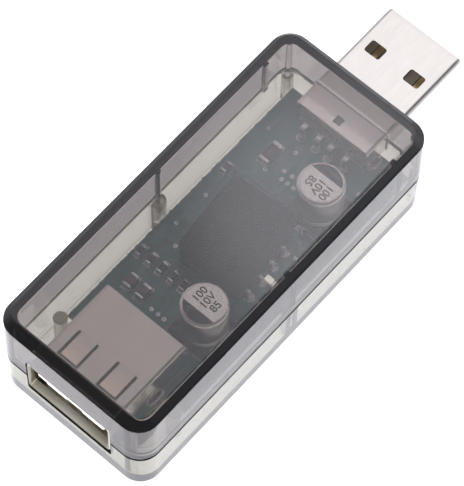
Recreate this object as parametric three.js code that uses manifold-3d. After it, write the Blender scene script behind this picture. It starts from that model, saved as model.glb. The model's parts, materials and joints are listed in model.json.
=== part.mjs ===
// USB isolator dongle: a clear two-part case around a circuit board, with a USB-A plug at one end
// and a USB-A receptacle at the other. Millimetres, +X towards the plug, +Z up, z = 0 under the case.
import * as THREE from "three";
import { mergeVertices } from "three/addons/utils/BufferGeometryUtils.js";
import Module from "manifold-3d";

const wasm = await Module();
wasm.setup();

// ---- driving dimensions ----
const caseLength = 55.6;
const caseWidth = 24.5;
const caseHeight = 17.1;
const splitHeight = 8.1; // the two halves meet here
const cornerRadius = 3.1;
const wall = 1.25; // of the lower half
const coverWall = 1.45;
const receptacleEndExtra = 0.45; // the wall round the receptacle is this much thicker
const ceiling = 1.0;
const floor = 1.4;
const taper = 0.1; // each half narrows by this on every side, away from the split
const coverRim = { across: 1.55, high: 0.55 }; // the soft outer edge of the cover's top
const splitStep = 0.12; // the lower half is this much smaller than the cover at the split
const partingBevel = { across: 0.45, high: 0.6 }; // round the top of the lower half
const lipHeight = 0.8;
const lipThickness = 0.5;
const fit = 0.15; // clearance between pieces that slip together

const boardTop = 5.8;
const boardThickness = 1.6;
const boardEnds = { receptacle: -25.6, plug: 25.9 };
const boardHalfWidth = 9.4;
const boardBottom = boardTop - boardThickness;
const boardNeck = { endX: -17.8, halfWidth: 7.6 }; // the board is narrower beside the receptacle

const sheet = 0.3; // metal of both connector shells
const plug = { rearX: 22.4, noseX: 41.4, halfWidth: 6, bottom: 6.1, top: 10.6 };
const receptacle = { mouthX: -27.75, rearX: -13.2, halfWidth: 6.55, bottom: 5.85, top: 11.55 };
const mouthLip = { length: 0.85, halfWidth: 6.85, bottom: 5.0, top: 11.65 };
const mouthOpening = { halfWidth: 7.0, bottom: 4.2, top: 11.8 };
const contactRows = [3.5, 1, -1, -3.5]; // USB-A contact positions across the connector

const legHalfThickness = 0.15; // the flat legs of both metal shells
const plugLegs = { x0: 23.5, x1: 24.9, y: 5.85 };
const receptacleLegs = { x0: -19.9, x1: -18.1, y: 6.4 };
const legBelowBoard = 0.9;
const shellArcSteps = 3;

const pressPins = [
  { x: 0.9, y: 10.75, radius: 0.5, socketRadius: 1.15 },
  { x: 25.9, y: 10.35, radius: 0.42, socketRadius: 0.85 },
];
const socketTop = splitHeight - 0.2;
const pinTip = 3.2;

// ---- helpers ----
function solid(geometry) {
  const bare = geometry.index ? geometry.toNonIndexed() : geometry.clone();
  bare.deleteAttribute("normal");
  bare.deleteAttribute("uv");
  const merged = mergeVertices(bare, 1e-4);
  return new wasm.Manifold(
    new wasm.Mesh({
      numProp: 3,
      vertProperties: merged.attributes.position.array,
      triVerts: new Uint32Array(merged.index.array),
    }),
  );
}

function geometryOf(manifold) {
  const mesh = manifold.getMesh();
  const geometry = new THREE.BufferGeometry();
  geometry.setAttribute("position", new THREE.BufferAttribute(mesh.vertProperties, 3));
  geometry.setIndex(new THREE.BufferAttribute(mesh.triVerts, 1));
  geometry.computeVertexNormals();
  return geometry;
}

function block(x0, x1, y0, y1, z0, z1) {
  const geometry = new THREE.BoxGeometry(x1 - x0, y1 - y0, z1 - z0);
  geometry.translate((x0 + x1) / 2, (y0 + y1) / 2, (z0 + z1) / 2);
  return solid(geometry);
}

function post(x, y, radius, z0, z1, segments = 16) {
  const geometry = new THREE.CylinderGeometry(radius, radius, z1 - z0, segments);
  geometry.rotateX(Math.PI / 2);
  geometry.translate(x, y, (z0 + z1) / 2);
  return solid(geometry);
}

function roundedRectangle(x0, x1, y0, y1, radius, arcSteps = 6) {
  const corners = [
    [x1 - radius, y1 - radius, 0],
    [x0 + radius, y1 - radius, 1],
    [x0 + radius, y0 + radius, 2],
    [x1 - radius, y0 + radius, 3],
  ];
  const points = [];
  for (const [cx, cy, quarter] of corners)
    for (let i = 0; i <= arcSteps; i++) {
      const angle = (quarter + i / arcSteps) * (Math.PI / 2);
      points.push([cx + radius * Math.cos(angle), cy + radius * Math.sin(angle)]);
    }
  return points;
}

// A closed solid through rings of equal point counts, each ring a list of [x, y, z] seen anticlockwise.
function skinned(rings) {
  const count = rings[0].length;
  const positions = [];
  const triangle = (a, b, c) => positions.push(...a, ...b, ...c);
  for (let r = 0; r + 1 < rings.length; r++)
    for (let i = 0; i < count; i++) {
      const j = (i + 1) % count;
      triangle(rings[r][i], rings[r][j], rings[r + 1][j]);
      triangle(rings[r][i], rings[r + 1][j], rings[r + 1][i]);
    }
  const first = rings[0];
  const last = rings[rings.length - 1];
  for (let i = 1; i + 1 < count; i++) {
    triangle(first[0], first[i + 1], first[i]);
    triangle(last[0], last[i], last[i + 1]);
  }
  const geometry = new THREE.BufferGeometry();
  geometry.setAttribute("position", new THREE.Float32BufferAttribute(positions, 3));
  return solid(geometry);
}

// The case outline at one height, drawn in by "inset" from the full outline.
function caseRing(inset, z, extraAtReceptacleEnd = 0) {
  const x0 = -caseLength / 2 + inset + extraAtReceptacleEnd;
  const x1 = caseLength / 2 - inset;
  const y1 = caseWidth / 2 - inset;
  const radius = Math.max(cornerRadius - inset, 0.4);
  return roundedRectangle(x0, x1, -y1, y1, radius).map(([x, y]) => [x, y, z]);
}

// An outline in the X-Z plane made into a strip of the given width across Y.
function stripAcrossY(points, yCentre, width) {
  const outline = new THREE.Shape(points.map(([x, z]) => new THREE.Vector2(x, z)));
  const geometry = new THREE.ExtrudeGeometry(outline, { depth: width, bevelEnabled: false });
  geometry.rotateX(Math.PI / 2);
  geometry.translate(0, yCentre + width / 2, 0);
  return solid(geometry);
}

function joined(solids) {
  return solids.reduce((whole, next) => whole.add(next));
}

const object = new THREE.Group();

function addPiece(name, shape, look, parent = object) {
  const geometry = shape.isBufferGeometry ? shape : geometryOf(shape);
  const mesh = new THREE.Mesh(geometry, new THREE.MeshStandardMaterial(look));
  mesh.name = name;
  parent.add(mesh);
  return mesh;
}

const looks = {
  smokedPlastic: { color: 0x8f8a88, roughness: 0.12, metalness: 0, transparent: true, opacity: 0.4 },
  clearPlastic: { color: 0xc9cbd0, roughness: 0.1, metalness: 0, transparent: true, opacity: 0.4 },
  greenBoard: { color: 0x2f6b5a, roughness: 0.45, metalness: 0 },
  shellSteel: { color: 0xd9d8d6, roughness: 0.25, metalness: 1 },
  whitePlastic: { color: 0xf1efe8, roughness: 0.5, metalness: 0 },
  blackPlastic: { color: 0x1b1a1c, roughness: 0.5, metalness: 0 },
  goldContact: { color: 0xd9b25a, roughness: 0.25, metalness: 1 },
  tinnedLead: { color: 0xc8c9cb, roughness: 0.3, metalness: 1 },
  canAluminium: { color: 0xd4d2cf, roughness: 0.3, metalness: 1 },
  tanCeramic: { color: 0x8d6a4f, roughness: 0.5, metalness: 0 },
  ledWhite: { color: 0xf4efda, roughness: 0.4, metalness: 0 },
};

// ---- case ----
function plugPassage() {
  const gap = fit;
  return block(
    caseLength / 2 - 4,
    caseLength / 2 + 1,
    -plug.halfWidth - gap,
    plug.halfWidth + gap,
    plug.bottom - gap,
    plug.top + gap,
  );
}

function mouthPassage() {
  const x0 = -caseLength / 2 - 1;
  const x1 = -caseLength / 2 + 3;
  const { halfWidth, bottom, top } = mouthOpening;
  return block(x0, x1, -halfWidth, halfWidth, bottom, top);
}

const ribEnds = [21, 21.9];
const ribDepth = 0.55;

function topCover() {
  const rimSteps = 6;
  const rimRings = [];
  for (let i = 0; i <= rimSteps; i++) {
    const angle = (i / rimSteps) * (Math.PI / 2);
    const inset = taper + coverRim.across * (1 - Math.cos(angle));
    rimRings.push(caseRing(inset, caseHeight - coverRim.high * (1 - Math.sin(angle))));
  }
  const outside = skinned([caseRing(0, splitHeight), ...rimRings]);
  const extra = receptacleEndExtra;
  const inside = skinned([
    caseRing(coverWall - 0.05, splitHeight - 1, extra),
    caseRing(coverWall + taper, caseHeight - ceiling, extra),
  ]);
  const lipInset = wall - lipThickness - fit;
  const lipSeat = skinned([
    caseRing(lipInset, splitHeight - 1, extra),
    caseRing(lipInset, splitHeight + lipHeight + fit, extra),
  ]);
  let cover = outside.subtract(inside).subtract(lipSeat);
  const insideTop = caseHeight - ceiling + 0.2;
  for (const pin of pressPins)
    for (const side of [1, -1])
      cover = cover.add(post(pin.x, side * pin.y, pin.radius, pinTip, insideTop, 12));
  for (const side of [1, -1]) {
    const inner = side * (caseWidth / 2 - coverWall - ribDepth);
    const outer = side * (caseWidth / 2 - coverWall + 0.1);
    const ribStart = splitHeight + lipHeight + 2 * fit;
    const across = [Math.min(inner, outer), Math.max(inner, outer)];
    cover = cover.add(block(ribEnds[0], ribEnds[1], ...across, ribStart, insideTop));
  }
  return cover.subtract(plugPassage()).subtract(mouthPassage());
}

const boardPost = { x: -19.4, y: 9, radius: 0.95 }; // stands in the board's narrow part
const boardRests = [
  { x0: 21.3, x1: 23.7, y: 8.3, halfWidth: 0.8 },
  { x0: -24.7, x1: -22.3, y: 5.2, halfWidth: 0.8 },
];

function bottomShell() {
  const edge = 0.5;
  const outside = skinned([
    caseRing(taper + splitStep + 0.36, 0),
    caseRing(taper + splitStep + 0.1, edge * 0.3),
    caseRing(taper + splitStep - 0.03, edge),
    caseRing(splitStep, splitHeight - partingBevel.high),
    caseRing(splitStep + partingBevel.across, splitHeight - 0.02),
  ]);
  const extra = receptacleEndExtra;
  const lipOutside = skinned([
    caseRing(wall - lipThickness, floor, extra),
    caseRing(wall - lipThickness, splitHeight + lipHeight, extra),
  ]);
  const inside = skinned([
    caseRing(wall + taper + splitStep, floor, extra),
    caseRing(wall, splitHeight + lipHeight + 1, extra),
  ]);
  let shell = outside.add(lipOutside).subtract(inside);
  const inCase = skinned([caseRing(0.5, floor - 0.4), caseRing(0.5, splitHeight)]);
  const sockets = [];
  for (const pin of pressPins)
    for (const side of [1, -1])
      sockets.push(post(pin.x, side * pin.y, pin.socketRadius, floor - 0.3, socketTop));
  for (const side of [1, -1]) {
    const { x, y, radius } = boardPost;
    sockets.push(post(x, side * y, radius, floor - 0.3, socketTop));
    for (const rest of boardRests) {
      const middle = side * rest.y;
      const across = [middle - rest.halfWidth, middle + rest.halfWidth];
      sockets.push(block(rest.x0, rest.x1, ...across, floor - 0.3, boardBottom - 0.05));
    }
  }
  shell = shell.add(joined(sockets).intersect(inCase));
  for (const pin of pressPins)
    for (const side of [1, -1]) {
      shell = shell.subtract(post(pin.x, side * pin.y, pin.radius + 0.08, pinTip - 0.4, socketTop + 1, 12));
      const reach = pin.radius + 0.35;
      const lipGap = block(
        pin.x - reach,
        pin.x + reach,
        side * pin.y - 1.3,
        side * pin.y + 1.3,
        splitHeight - 0.02,
        splitHeight + 2,
      );
      shell = shell.subtract(lipGap);
    }
  return shell.subtract(plugPassage()).subtract(mouthPassage());
}

addPiece("top_cover", topCover(), looks.smokedPlastic);
addPiece("bottom_shell", bottomShell(), looks.clearPlastic);

// ---- circuit board ----
const converterTurn = THREE.MathUtils.degToRad(5);
const converter = { x: 3.2, y: -0.55, length: 12, depth: 9.4, height: 6.05 };
const converterPins = [-4.5, -1.96, 0.58, 3.12]; // along the converter, from its middle
const converterPinReach = 0.65; // from the converter's side to the bend
const plugPinX = 20.75;
const receptaclePinX = -15.4;
const holeHalf = 0.4;

// A place given along and across the turned converter, as a point on the board.
function onConverter(along, across) {
  const c = Math.cos(converterTurn);
  const s = Math.sin(converterTurn);
  return [converter.x + along * c - across * s, converter.y + along * s + across * c];
}

function circuitBoard() {
  const z0 = boardBottom;
  const z1 = boardTop;
  let board = block(boardNeck.endX, boardEnds.plug, -boardHalfWidth, boardHalfWidth, z0, z1);
  const { endX, halfWidth } = boardNeck;
  board = board.add(block(boardEnds.receptacle, endX + 0.5, -halfWidth, halfWidth, z0, z1));
  const holes = [];
  for (const y of contactRows) {
    holes.push(post(plugPinX, y, holeHalf + 0.1, z0 - 1, z1 + 1, 8));
    holes.push(post(receptaclePinX, y, holeHalf + 0.1, z0 - 1, z1 + 1, 8));
  }
  for (const along of converterPins) {
    const [x, y] = onConverter(along, -converter.depth / 2 - converterPinReach);
    holes.push(post(x, y, holeHalf, z0 - 1, z1 + 1, 8));
  }
  const slotRoom = 0.3;
  for (const side of [1, -1])
    for (const { x0, x1, y } of [plugLegs, receptacleLegs]) {
      const across = [side * y - legHalfThickness - slotRoom, side * y + legHalfThickness + slotRoom];
      holes.push(block(x0 - slotRoom, x1 + slotRoom, ...across, z0 - 1, z1 + 1));
    }
  return board.subtract(joined(holes));
}

addPiece("circuit_board", circuitBoard(), looks.greenBoard);

// A rounded rectangle standing across X, for the sections of the two metal shells.
function sectionAcrossX(x, halfWidth, low, high, radius) {
  const points = roundedRectangle(low, high, -halfWidth, halfWidth, radius, shellArcSteps);
  return points.map(([z, y]) => [x, y, z]).reverse();
}

function shellLegsFor({ x0, x1, y }, shellBottom) {
  const low = boardBottom - legBelowBoard;
  const leg = (at) => block(x0, x1, at - legHalfThickness, at + legHalfThickness, low, shellBottom + 0.8);
  return leg(y).add(leg(-y));
}

// ---- USB-A plug ----
const plugWindows = { behindNose: 6.3, halfLength: 1, halfWidth: 1.25, y: 3.25 };
const plugRearWindow = { x0: 23.2, x1: 24.4, halfWidth: 0.6 };
const plugNose = { length: 0.5, narrower: 0.22 };

function plugShell() {
  const { rearX, noseX, halfWidth, bottom, top } = plug;
  const section = (x, inset) =>
    sectionAcrossX(x, halfWidth - inset, bottom + inset, top - inset, 0.55 - inset / 2);
  const outside = skinned([
    section(rearX, 0),
    section(noseX - plugNose.length, 0),
    section(noseX, plugNose.narrower),
  ]);
  const inside = skinned([section(rearX - 1, sheet), section(noseX + 1, sheet)]);
  let shell = outside.subtract(inside);
  const windowX = noseX - plugWindows.behindNose;
  const windowAlong = [windowX - plugWindows.halfLength, windowX + plugWindows.halfLength];
  for (const side of [1, -1]) {
    const y = side * plugWindows.y;
    const across = [y - plugWindows.halfWidth, y + plugWindows.halfWidth];
    shell = shell.subtract(block(...windowAlong, ...across, bottom - 1, top + 1));
  }
  const rear = plugRearWindow;
  shell = shell.subtract(block(rear.x0, rear.x1, -rear.halfWidth, rear.halfWidth, top - 1, top + 1));
  return shell.add(shellLegsFor(plugLegs, bottom));
}

const plugCore = { rearX: 22.7, faceX: 40.9, halfWidth: 5.5, rearBlockX: 31.4 };
const plugFaceZ = plug.bottom + 2.2; // the level of the contacts
const plugPinTipZ = 3.1;

function plugInsulator() {
  const low = plug.bottom + sheet + 0.05;
  const high = plug.top - sheet - 0.05;
  const { rearX, faceX, halfWidth, rearBlockX } = plugCore;
  let core = block(rearX, faceX, -halfWidth, halfWidth, low, plugFaceZ);
  core = core.add(block(rearX, rearBlockX, -halfWidth, halfWidth, low, high));
  for (const y of contactRows)
    core = core.subtract(
      block(rearX - 1, faceX - 0.6, y - 0.6, y + 0.6, plugFaceZ - 0.35, plugFaceZ + 0.15),
    );
  return core;
}

function plugContact(y) {
  const back = plugPinX - 0.13;
  const front = plugCore.faceX - 0.75;
  const z0 = plugFaceZ - 0.25;
  const z1 = plugFaceZ + 0.02;
  const outline = [
    [back, plugPinTipZ],
    [back + 0.27, plugPinTipZ],
    [back + 0.27, z0],
    [front, z0],
    [front, z1],
    [back + 0.15, z1],
    [back, z1 - 0.15],
  ];
  return stripAcrossY(outline, y, 0.75);
}

addPiece("plug_shell", plugShell(), looks.shellSteel);
addPiece("plug_insulator", plugInsulator(), looks.blackPlastic);
contactRows.forEach((y, i) => addPiece("plug_contact_" + (i + 1), plugContact(y), looks.goldContact));

// ---- USB-A receptacle ----
const leafSpring = { rootX: -20.2, tipX: -24, y: 3.2, halfWidth: 1.3, slot: 0.4 };
const floorOpening = { x0: -16.2, x1: -14.6, halfWidth: 4.5 }; // the contact legs leave through it

function receptacleShell() {
  const { mouthX, rearX, halfWidth, bottom, top } = receptacle;
  const lip = mouthLip;
  const lipStart = mouthX + lip.length;
  const outside = skinned([
    sectionAcrossX(mouthX, lip.halfWidth, lip.bottom, lip.top, 0.7),
    sectionAcrossX(lipStart, halfWidth, bottom, top, 0.5),
    sectionAcrossX(rearX, halfWidth, bottom, top, 0.5),
  ]);
  const inner = [halfWidth - sheet, bottom + sheet, top - sheet, 0.3];
  const inside = skinned([
    sectionAcrossX(mouthX - 0.3, lip.halfWidth - sheet + 0.1, lip.bottom, lip.top - sheet, 0.6),
    sectionAcrossX(lipStart, ...inner),
    sectionAcrossX(rearX - sheet, ...inner),
  ]);
  let shell = outside.subtract(inside);
  // two leaf springs in the top, each freed by a cut on both sides and at its end
  const { rootX, tipX, slot } = leafSpring;
  const reach = leafSpring.halfWidth + slot;
  for (const side of [1, -1]) {
    const y = side * leafSpring.y;
    const cuts = [
      [rootX, y + leafSpring.halfWidth, y + reach],
      [rootX, y - reach, y - leafSpring.halfWidth],
      [tipX, y - reach, y + reach],
    ];
    for (const [end, y0, y1] of cuts)
      shell = shell.subtract(block(tipX - slot, end, y0, y1, top - 1, top + 1));
  }
  const { x0, x1 } = floorOpening;
  const half = floorOpening.halfWidth;
  shell = shell.subtract(block(x0, x1, -half, half, bottom - 1, bottom + 0.5));
  return shell.add(shellLegsFor(receptacleLegs, bottom));
}

const tongue = {
  frontX: -27.3,
  rootX: -18.6,
  halfWidth: 5.55,
  bottom: 8.75,
  top: 10.6,
  groove: { halfWidth: 0.7, depth: 0.95 },
};
const receptacleLegEnds = { low: 2.9, high: 7.9 };

function receptacleInsulator() {
  const gap = 0.12;
  const low = receptacle.bottom + sheet + gap;
  const high = receptacle.top - sheet - gap;
  const side = receptacle.halfWidth - sheet - gap;
  const rear = receptacle.rearX - sheet - gap;
  let core = block(tongue.rootX, rear, -side, side, low, high);
  const { frontX, rootX, halfWidth, bottom, top, groove } = tongue;
  core = core.add(block(frontX, rootX + 0.5, -halfWidth, halfWidth, bottom, top));
  const room = 0.35; // round each leg
  const legX = [receptaclePinX - room, receptaclePinX + room];
  for (const y of contactRows) {
    const grooveY = [y - groove.halfWidth, y + groove.halfWidth];
    core = core.subtract(block(frontX + 0.7, rootX, ...grooveY, bottom - 1, bottom + groove.depth));
    core = core.subtract(block(...legX, y - 0.4, y + 0.4, low - 1, receptacleLegEnds.high + 0.1));
  }
  return core;
}

// A contact leaf slopes down and forward from its root, and its tip turns up again.
function receptacleLeaf(y) {
  const root = tongue.rootX - 0.12;
  const outline = [
    [root, 9.0],
    [root, 9.22],
    [-24.6, 8.52],
    [-25.9, 8.82],
    [-25.9, 8.6],
    [-24.6, 8.3],
  ];
  return stripAcrossY(outline, y, 0.95);
}

function receptacleLeg(y) {
  const { low, high } = receptacleLegEnds;
  return block(receptaclePinX - 0.15, receptaclePinX + 0.15, y - 0.28, y + 0.28, low, high);
}

addPiece("receptacle_shell", receptacleShell(), looks.shellSteel);
addPiece("receptacle_insulator", receptacleInsulator(), looks.whitePlastic);
contactRows.forEach((y, i) => {
  addPiece("receptacle_contact_" + (i + 1), receptacleLeaf(y), looks.goldContact);
  addPiece("receptacle_leg_" + (i + 1), receptacleLeg(y), looks.tinnedLead);
});

// ---- parts on the board ----
const onBoard = new THREE.Group();
onBoard.position.z = boardTop;
object.add(onBoard);
const standOff = 0.05; // solder under each part

const converterGroup = new THREE.Group();
converterGroup.position.set(converter.x, converter.y, 0);
converterGroup.rotation.z = converterTurn;
onBoard.add(converterGroup);

const halfDepth = converter.depth / 2;
const halfLength = converter.length / 2;
const converterLift = 0.12;
const converterTop = converterLift + converter.height;
const converterBody = block(-halfLength, halfLength, -halfDepth, halfDepth, converterLift, converterTop);
addPiece("dc_converter", converterBody, looks.blackPlastic, converterGroup);

function converterPin() {
  const out = -halfDepth - 0.1;
  const bend = -halfDepth - converterPinReach;
  const outline = new THREE.Shape([
    new THREE.Vector2(out, 1.1),
    new THREE.Vector2(out, 1.4),
    new THREE.Vector2(bend - 0.15, 1.4),
    new THREE.Vector2(bend - 0.15, -boardThickness - 1),
    new THREE.Vector2(bend + 0.15, -boardThickness - 1),
    new THREE.Vector2(bend + 0.15, 1.1),
  ]);
  const geometry = new THREE.ExtrudeGeometry(outline, { depth: 0.5, bevelEnabled: false });
  geometry.translate(0, 0, -0.25);
  geometry.rotateX(Math.PI / 2);
  geometry.rotateZ(Math.PI / 2);
  return solid(geometry);
}

converterPins.forEach((along, i) => {
  const pin = addPiece("dc_converter_pin_" + (i + 1), converterPin(), looks.tinnedLead, converterGroup);
  pin.position.x = along;
});

const capacitors = [
  { x: -8, y: -5, turn: 0 },
  { x: 14.3, y: -5, turn: Math.PI },
];
const can = { radius: 3.15, top: 7.7, baseTop: 1.15, baseHalf: 3.3, chamfer: 1.1 };

function capacitorBase() {
  const { baseHalf: h, chamfer: c } = can;
  const outline = new THREE.Shape(
    [
      [-h, -h],
      [h - c, -h],
      [h, -h + c],
      [h, h - c],
      [h - c, h],
      [-h, h],
    ].map(([x, y]) => new THREE.Vector2(x, y)),
  );
  const depth = can.baseTop - standOff;
  const geometry = new THREE.ExtrudeGeometry(outline, { depth, bevelEnabled: false });
  geometry.translate(0, 0, standOff);
  return geometry;
}

function capacitorCan() {
  const { radius: r, top } = can;
  const low = can.baseTop + 0.03;
  const profile = [
    [0, low],
    [r - 0.25, low],
    [r, low + 0.25],
    [r, low + 0.7],
    [r - 0.22, low + 1.05],
    [r, low + 1.4],
    [r, top - 0.4],
    [r - 0.4, top],
    [0, top],
  ].map(([x, z]) => new THREE.Vector2(x, z));
  const geometry = new THREE.LatheGeometry(profile, 24);
  geometry.rotateX(Math.PI / 2);
  return geometry;
}

capacitors.forEach(({ x, y, turn }, i) => {
  const group = new THREE.Group();
  group.position.set(x, y, 0);
  group.rotation.z = turn;
  onBoard.add(group);
  addPiece("capacitor_base_" + (i + 1), capacitorBase(), looks.blackPlastic, group);
  addPiece("capacitor_can_" + (i + 1), capacitorCan(), looks.canAluminium, group);
});

// Chip parts: name, centre, length along X, width along Y, height, look.
const chips = [
  ["resistor_1", -5.2, 8.2, 1.6, 0.85, 0.5, "blackPlastic"],
  ["resistor_2", -5.2, 6.4, 1.6, 0.85, 0.5, "blackPlastic"],
  ["resistor_3", -5.2, 4.55, 1.6, 0.85, 0.5, "blackPlastic"],
  ["resistor_4", -5.2, 2.6, 1.6, 0.85, 0.5, "blackPlastic"],
  ["resistor_5", -5.2, 0.8, 1.6, 0.85, 0.5, "blackPlastic"],
  ["ceramic_capacitor_1", -9.3, 6.2, 2, 1.3, 0.9, "tanCeramic"],
  ["ceramic_capacitor_2", -9.4, 4, 2, 1.3, 0.9, "tanCeramic"],
  ["ceramic_capacitor_3", 10.9, 7.8, 1.6, 0.85, 0.8, "tanCeramic"],
  ["fuse_chip", 16.3, 4.9, 3.2, 1.6, 0.7, "blackPlastic"],
  ["indicator_led", 2.5, -6.75, 0.85, 1.6, 0.6, "ledWhite"],
];
for (const [name, x, y, length, width, height, look] of chips) {
  const geometry = new THREE.BoxGeometry(length, width, height);
  const mesh = addPiece(name, geometry, looks[look], onBoard);
  mesh.position.set(x, y, standOff + height / 2);
}

// ---- isolator chip under the board ----
const isolator = { x: 4, y: 1.6, halfX: 3.75, halfY: 5.15, top: boardBottom - 0.12, bottom: 1.85 };

function isolatorChip() {
  const { x, y, halfX, halfY, top, bottom } = isolator;
  let chip = block(x - halfX, x + halfX, y - halfY, y + halfY, bottom, top);
  const leadPitch = 1.27;
  const middle = (top + bottom) / 2;
  for (let i = 0; i < 8; i++)
    for (const side of [1, -1]) {
      const leadY = y + (i - 3.5) * leadPitch;
      const at = (offset) => x + side * (halfX + offset);
      const span = (a, b) => [Math.min(at(a), at(b)), Math.max(at(a), at(b))];
      const across = [leadY - 0.21, leadY + 0.21];
      const footTop = boardBottom - 0.03;
      const shoulder = block(...span(-0.3, 0.7), ...across, middle - 0.14, middle + 0.14);
      const drop = block(...span(0.45, 0.7), ...across, middle - 0.14, footTop);
      const foot = block(...span(0.45, 1.4), ...across, footTop - 0.25, footTop);
      chip = chip.add(shoulder).add(drop).add(foot);
    }
  return chip;
}

addPiece("isolator_chip", isolatorChip(), looks.blackPlastic);

export default object;
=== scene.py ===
import bpy
import bmesh
import json
import math
import random
from mathutils import Matrix, Vector


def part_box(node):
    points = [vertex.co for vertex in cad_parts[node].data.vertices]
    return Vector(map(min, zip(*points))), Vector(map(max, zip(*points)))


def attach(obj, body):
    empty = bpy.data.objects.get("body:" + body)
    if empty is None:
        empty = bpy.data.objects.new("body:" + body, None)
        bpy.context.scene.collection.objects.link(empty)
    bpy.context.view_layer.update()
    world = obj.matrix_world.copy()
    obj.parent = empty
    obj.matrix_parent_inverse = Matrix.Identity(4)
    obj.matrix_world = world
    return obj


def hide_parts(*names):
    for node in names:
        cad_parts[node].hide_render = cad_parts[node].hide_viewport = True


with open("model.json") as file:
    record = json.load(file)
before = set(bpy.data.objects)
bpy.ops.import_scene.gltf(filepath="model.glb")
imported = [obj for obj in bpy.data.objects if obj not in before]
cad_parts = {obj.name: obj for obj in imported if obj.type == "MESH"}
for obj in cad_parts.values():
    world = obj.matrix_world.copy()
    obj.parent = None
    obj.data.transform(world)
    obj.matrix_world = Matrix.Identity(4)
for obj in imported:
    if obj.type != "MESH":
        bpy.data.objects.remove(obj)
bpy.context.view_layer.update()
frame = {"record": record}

# ---------------------------------------------------------------- measures, in millimetres
MM = 0.001
BODIES = frame["record"]["behaviour"]["bodies"]
BODY_OF = {node: body for body, nodes in BODIES.items() for node in nodes}


def box_mm(node):
    low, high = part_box(node)
    return low / MM, high / MM


def middle(node):
    low, high = box_mm(node)
    return (low + high) / 2


def upright(centre, turn, z=0.0):
    """Where a part turned about its upright axis stands."""
    return Matrix.Translation((centre.x, centre.y, z)) @ Matrix.Rotation(turn, 4, "Z")


COVER_LOW, COVER_HIGH = box_mm("top_cover")
BOARD_LOW, BOARD_HIGH = box_mm("circuit_board")
PLUG_LOW, PLUG_HIGH = box_mm("plug_shell")
SOCKET_LOW, SOCKET_HIGH = box_mm("receptacle_shell")

SPLIT_Z = 8.1
SPLIT_STEP = 0.04
PARTING = 0.03
PARTING_BEVEL = (0.45, 0.6)
CORNER = 3.1
WALL = 1.25
COVER_WALL = 1.45
THICKER_END = 0.45
PLATE = 1.4
COVER_PLATE = 1.0
TAPER = 0.1
RIM_ACROSS = 1.65
FAR_RIM_ACROSS = 0.8
RIM_HIGH = 0.62
RIM_SOFT = (0.18, 0.36)
RIM_FLAT = 0.08
LIP_THICK = 0.5
LIP_HIGH = 0.8
FIT = 0.15
SHEET = 0.3
BOARD_TOP = BOARD_HIGH.z
BOARD_UNDER = BOARD_LOW.z
NECK_END_X = -17.8
NECK_HALF = 7.6
ROWS = [middle(f"plug_contact_{i}").y for i in range(1, 5)]


# ---------------------------------------------------------------- shapes
def rounded_ring(x0, x1, y0, y1, radius, z, steps=6):
    """A rounded rectangle at height z, anticlockwise."""
    radius = max(radius, 0.001)
    corners = [(x1 - radius, y1 - radius), (x0 + radius, y1 - radius),
               (x0 + radius, y0 + radius), (x1 - radius, y0 + radius)]
    ring = []
    for quarter, (cx, cy) in enumerate(corners):
        for i in range(steps + 1):
            angle = (quarter + i / steps) * math.pi / 2
            ring.append((cx + radius * math.cos(angle), cy + radius * math.sin(angle), z))
    return ring


def rounded_outline(x0, x1, y0, y1, radius, steps=4):
    return [(x, y) for x, y, _ in rounded_ring(x0, x1, y0, y1, radius, 0, steps)]


def quarter_round(radius, steps):
    """(inset, rise) pairs from an upright side to a flat top."""
    for i in range(steps + 1):
        angle = i / steps * math.pi / 2
        yield radius * (1 - math.cos(angle)), radius * math.sin(angle)


def rim_profile(steps=6):
    """(inset, rise) as shares of the rim: a soft outer corner, an even slope, a blend into the flat top."""
    across, high = RIM_SOFT
    turn = math.radians(68)
    for i in range(steps + 1):
        angle = i / steps * turn
        yield across * (1 - math.cos(angle)) / (1 - math.cos(turn)), high * math.sin(angle) / math.sin(turn)
    yield from ((0.82, 1 - RIM_FLAT), (0.92, 1 - RIM_FLAT * 0.2), (1.0, 1.0))


def leftwards(along):
    return Vector((-along.y, along.x))


def inset_outline(points, by):
    """A closed anticlockwise outline drawn in by a distance, corner by corner."""
    points = [Vector(p) for p in points]
    out = []
    for before, here, after in zip(points[-1:] + points, points, points[1:] + points[:1]):
        normal = leftwards((here - before).normalized())
        bisector = normal + leftwards((after - here).normalized())
        out.append(here + bisector * (by / max(bisector.dot(normal), 0.35)))
    return out


def turned_ccw(points):
    area = sum(a[0] * b[1] - b[0] * a[1] for a, b in zip(points, points[1:] + points[:1]))
    return points if area > 0 else points[::-1]


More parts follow.
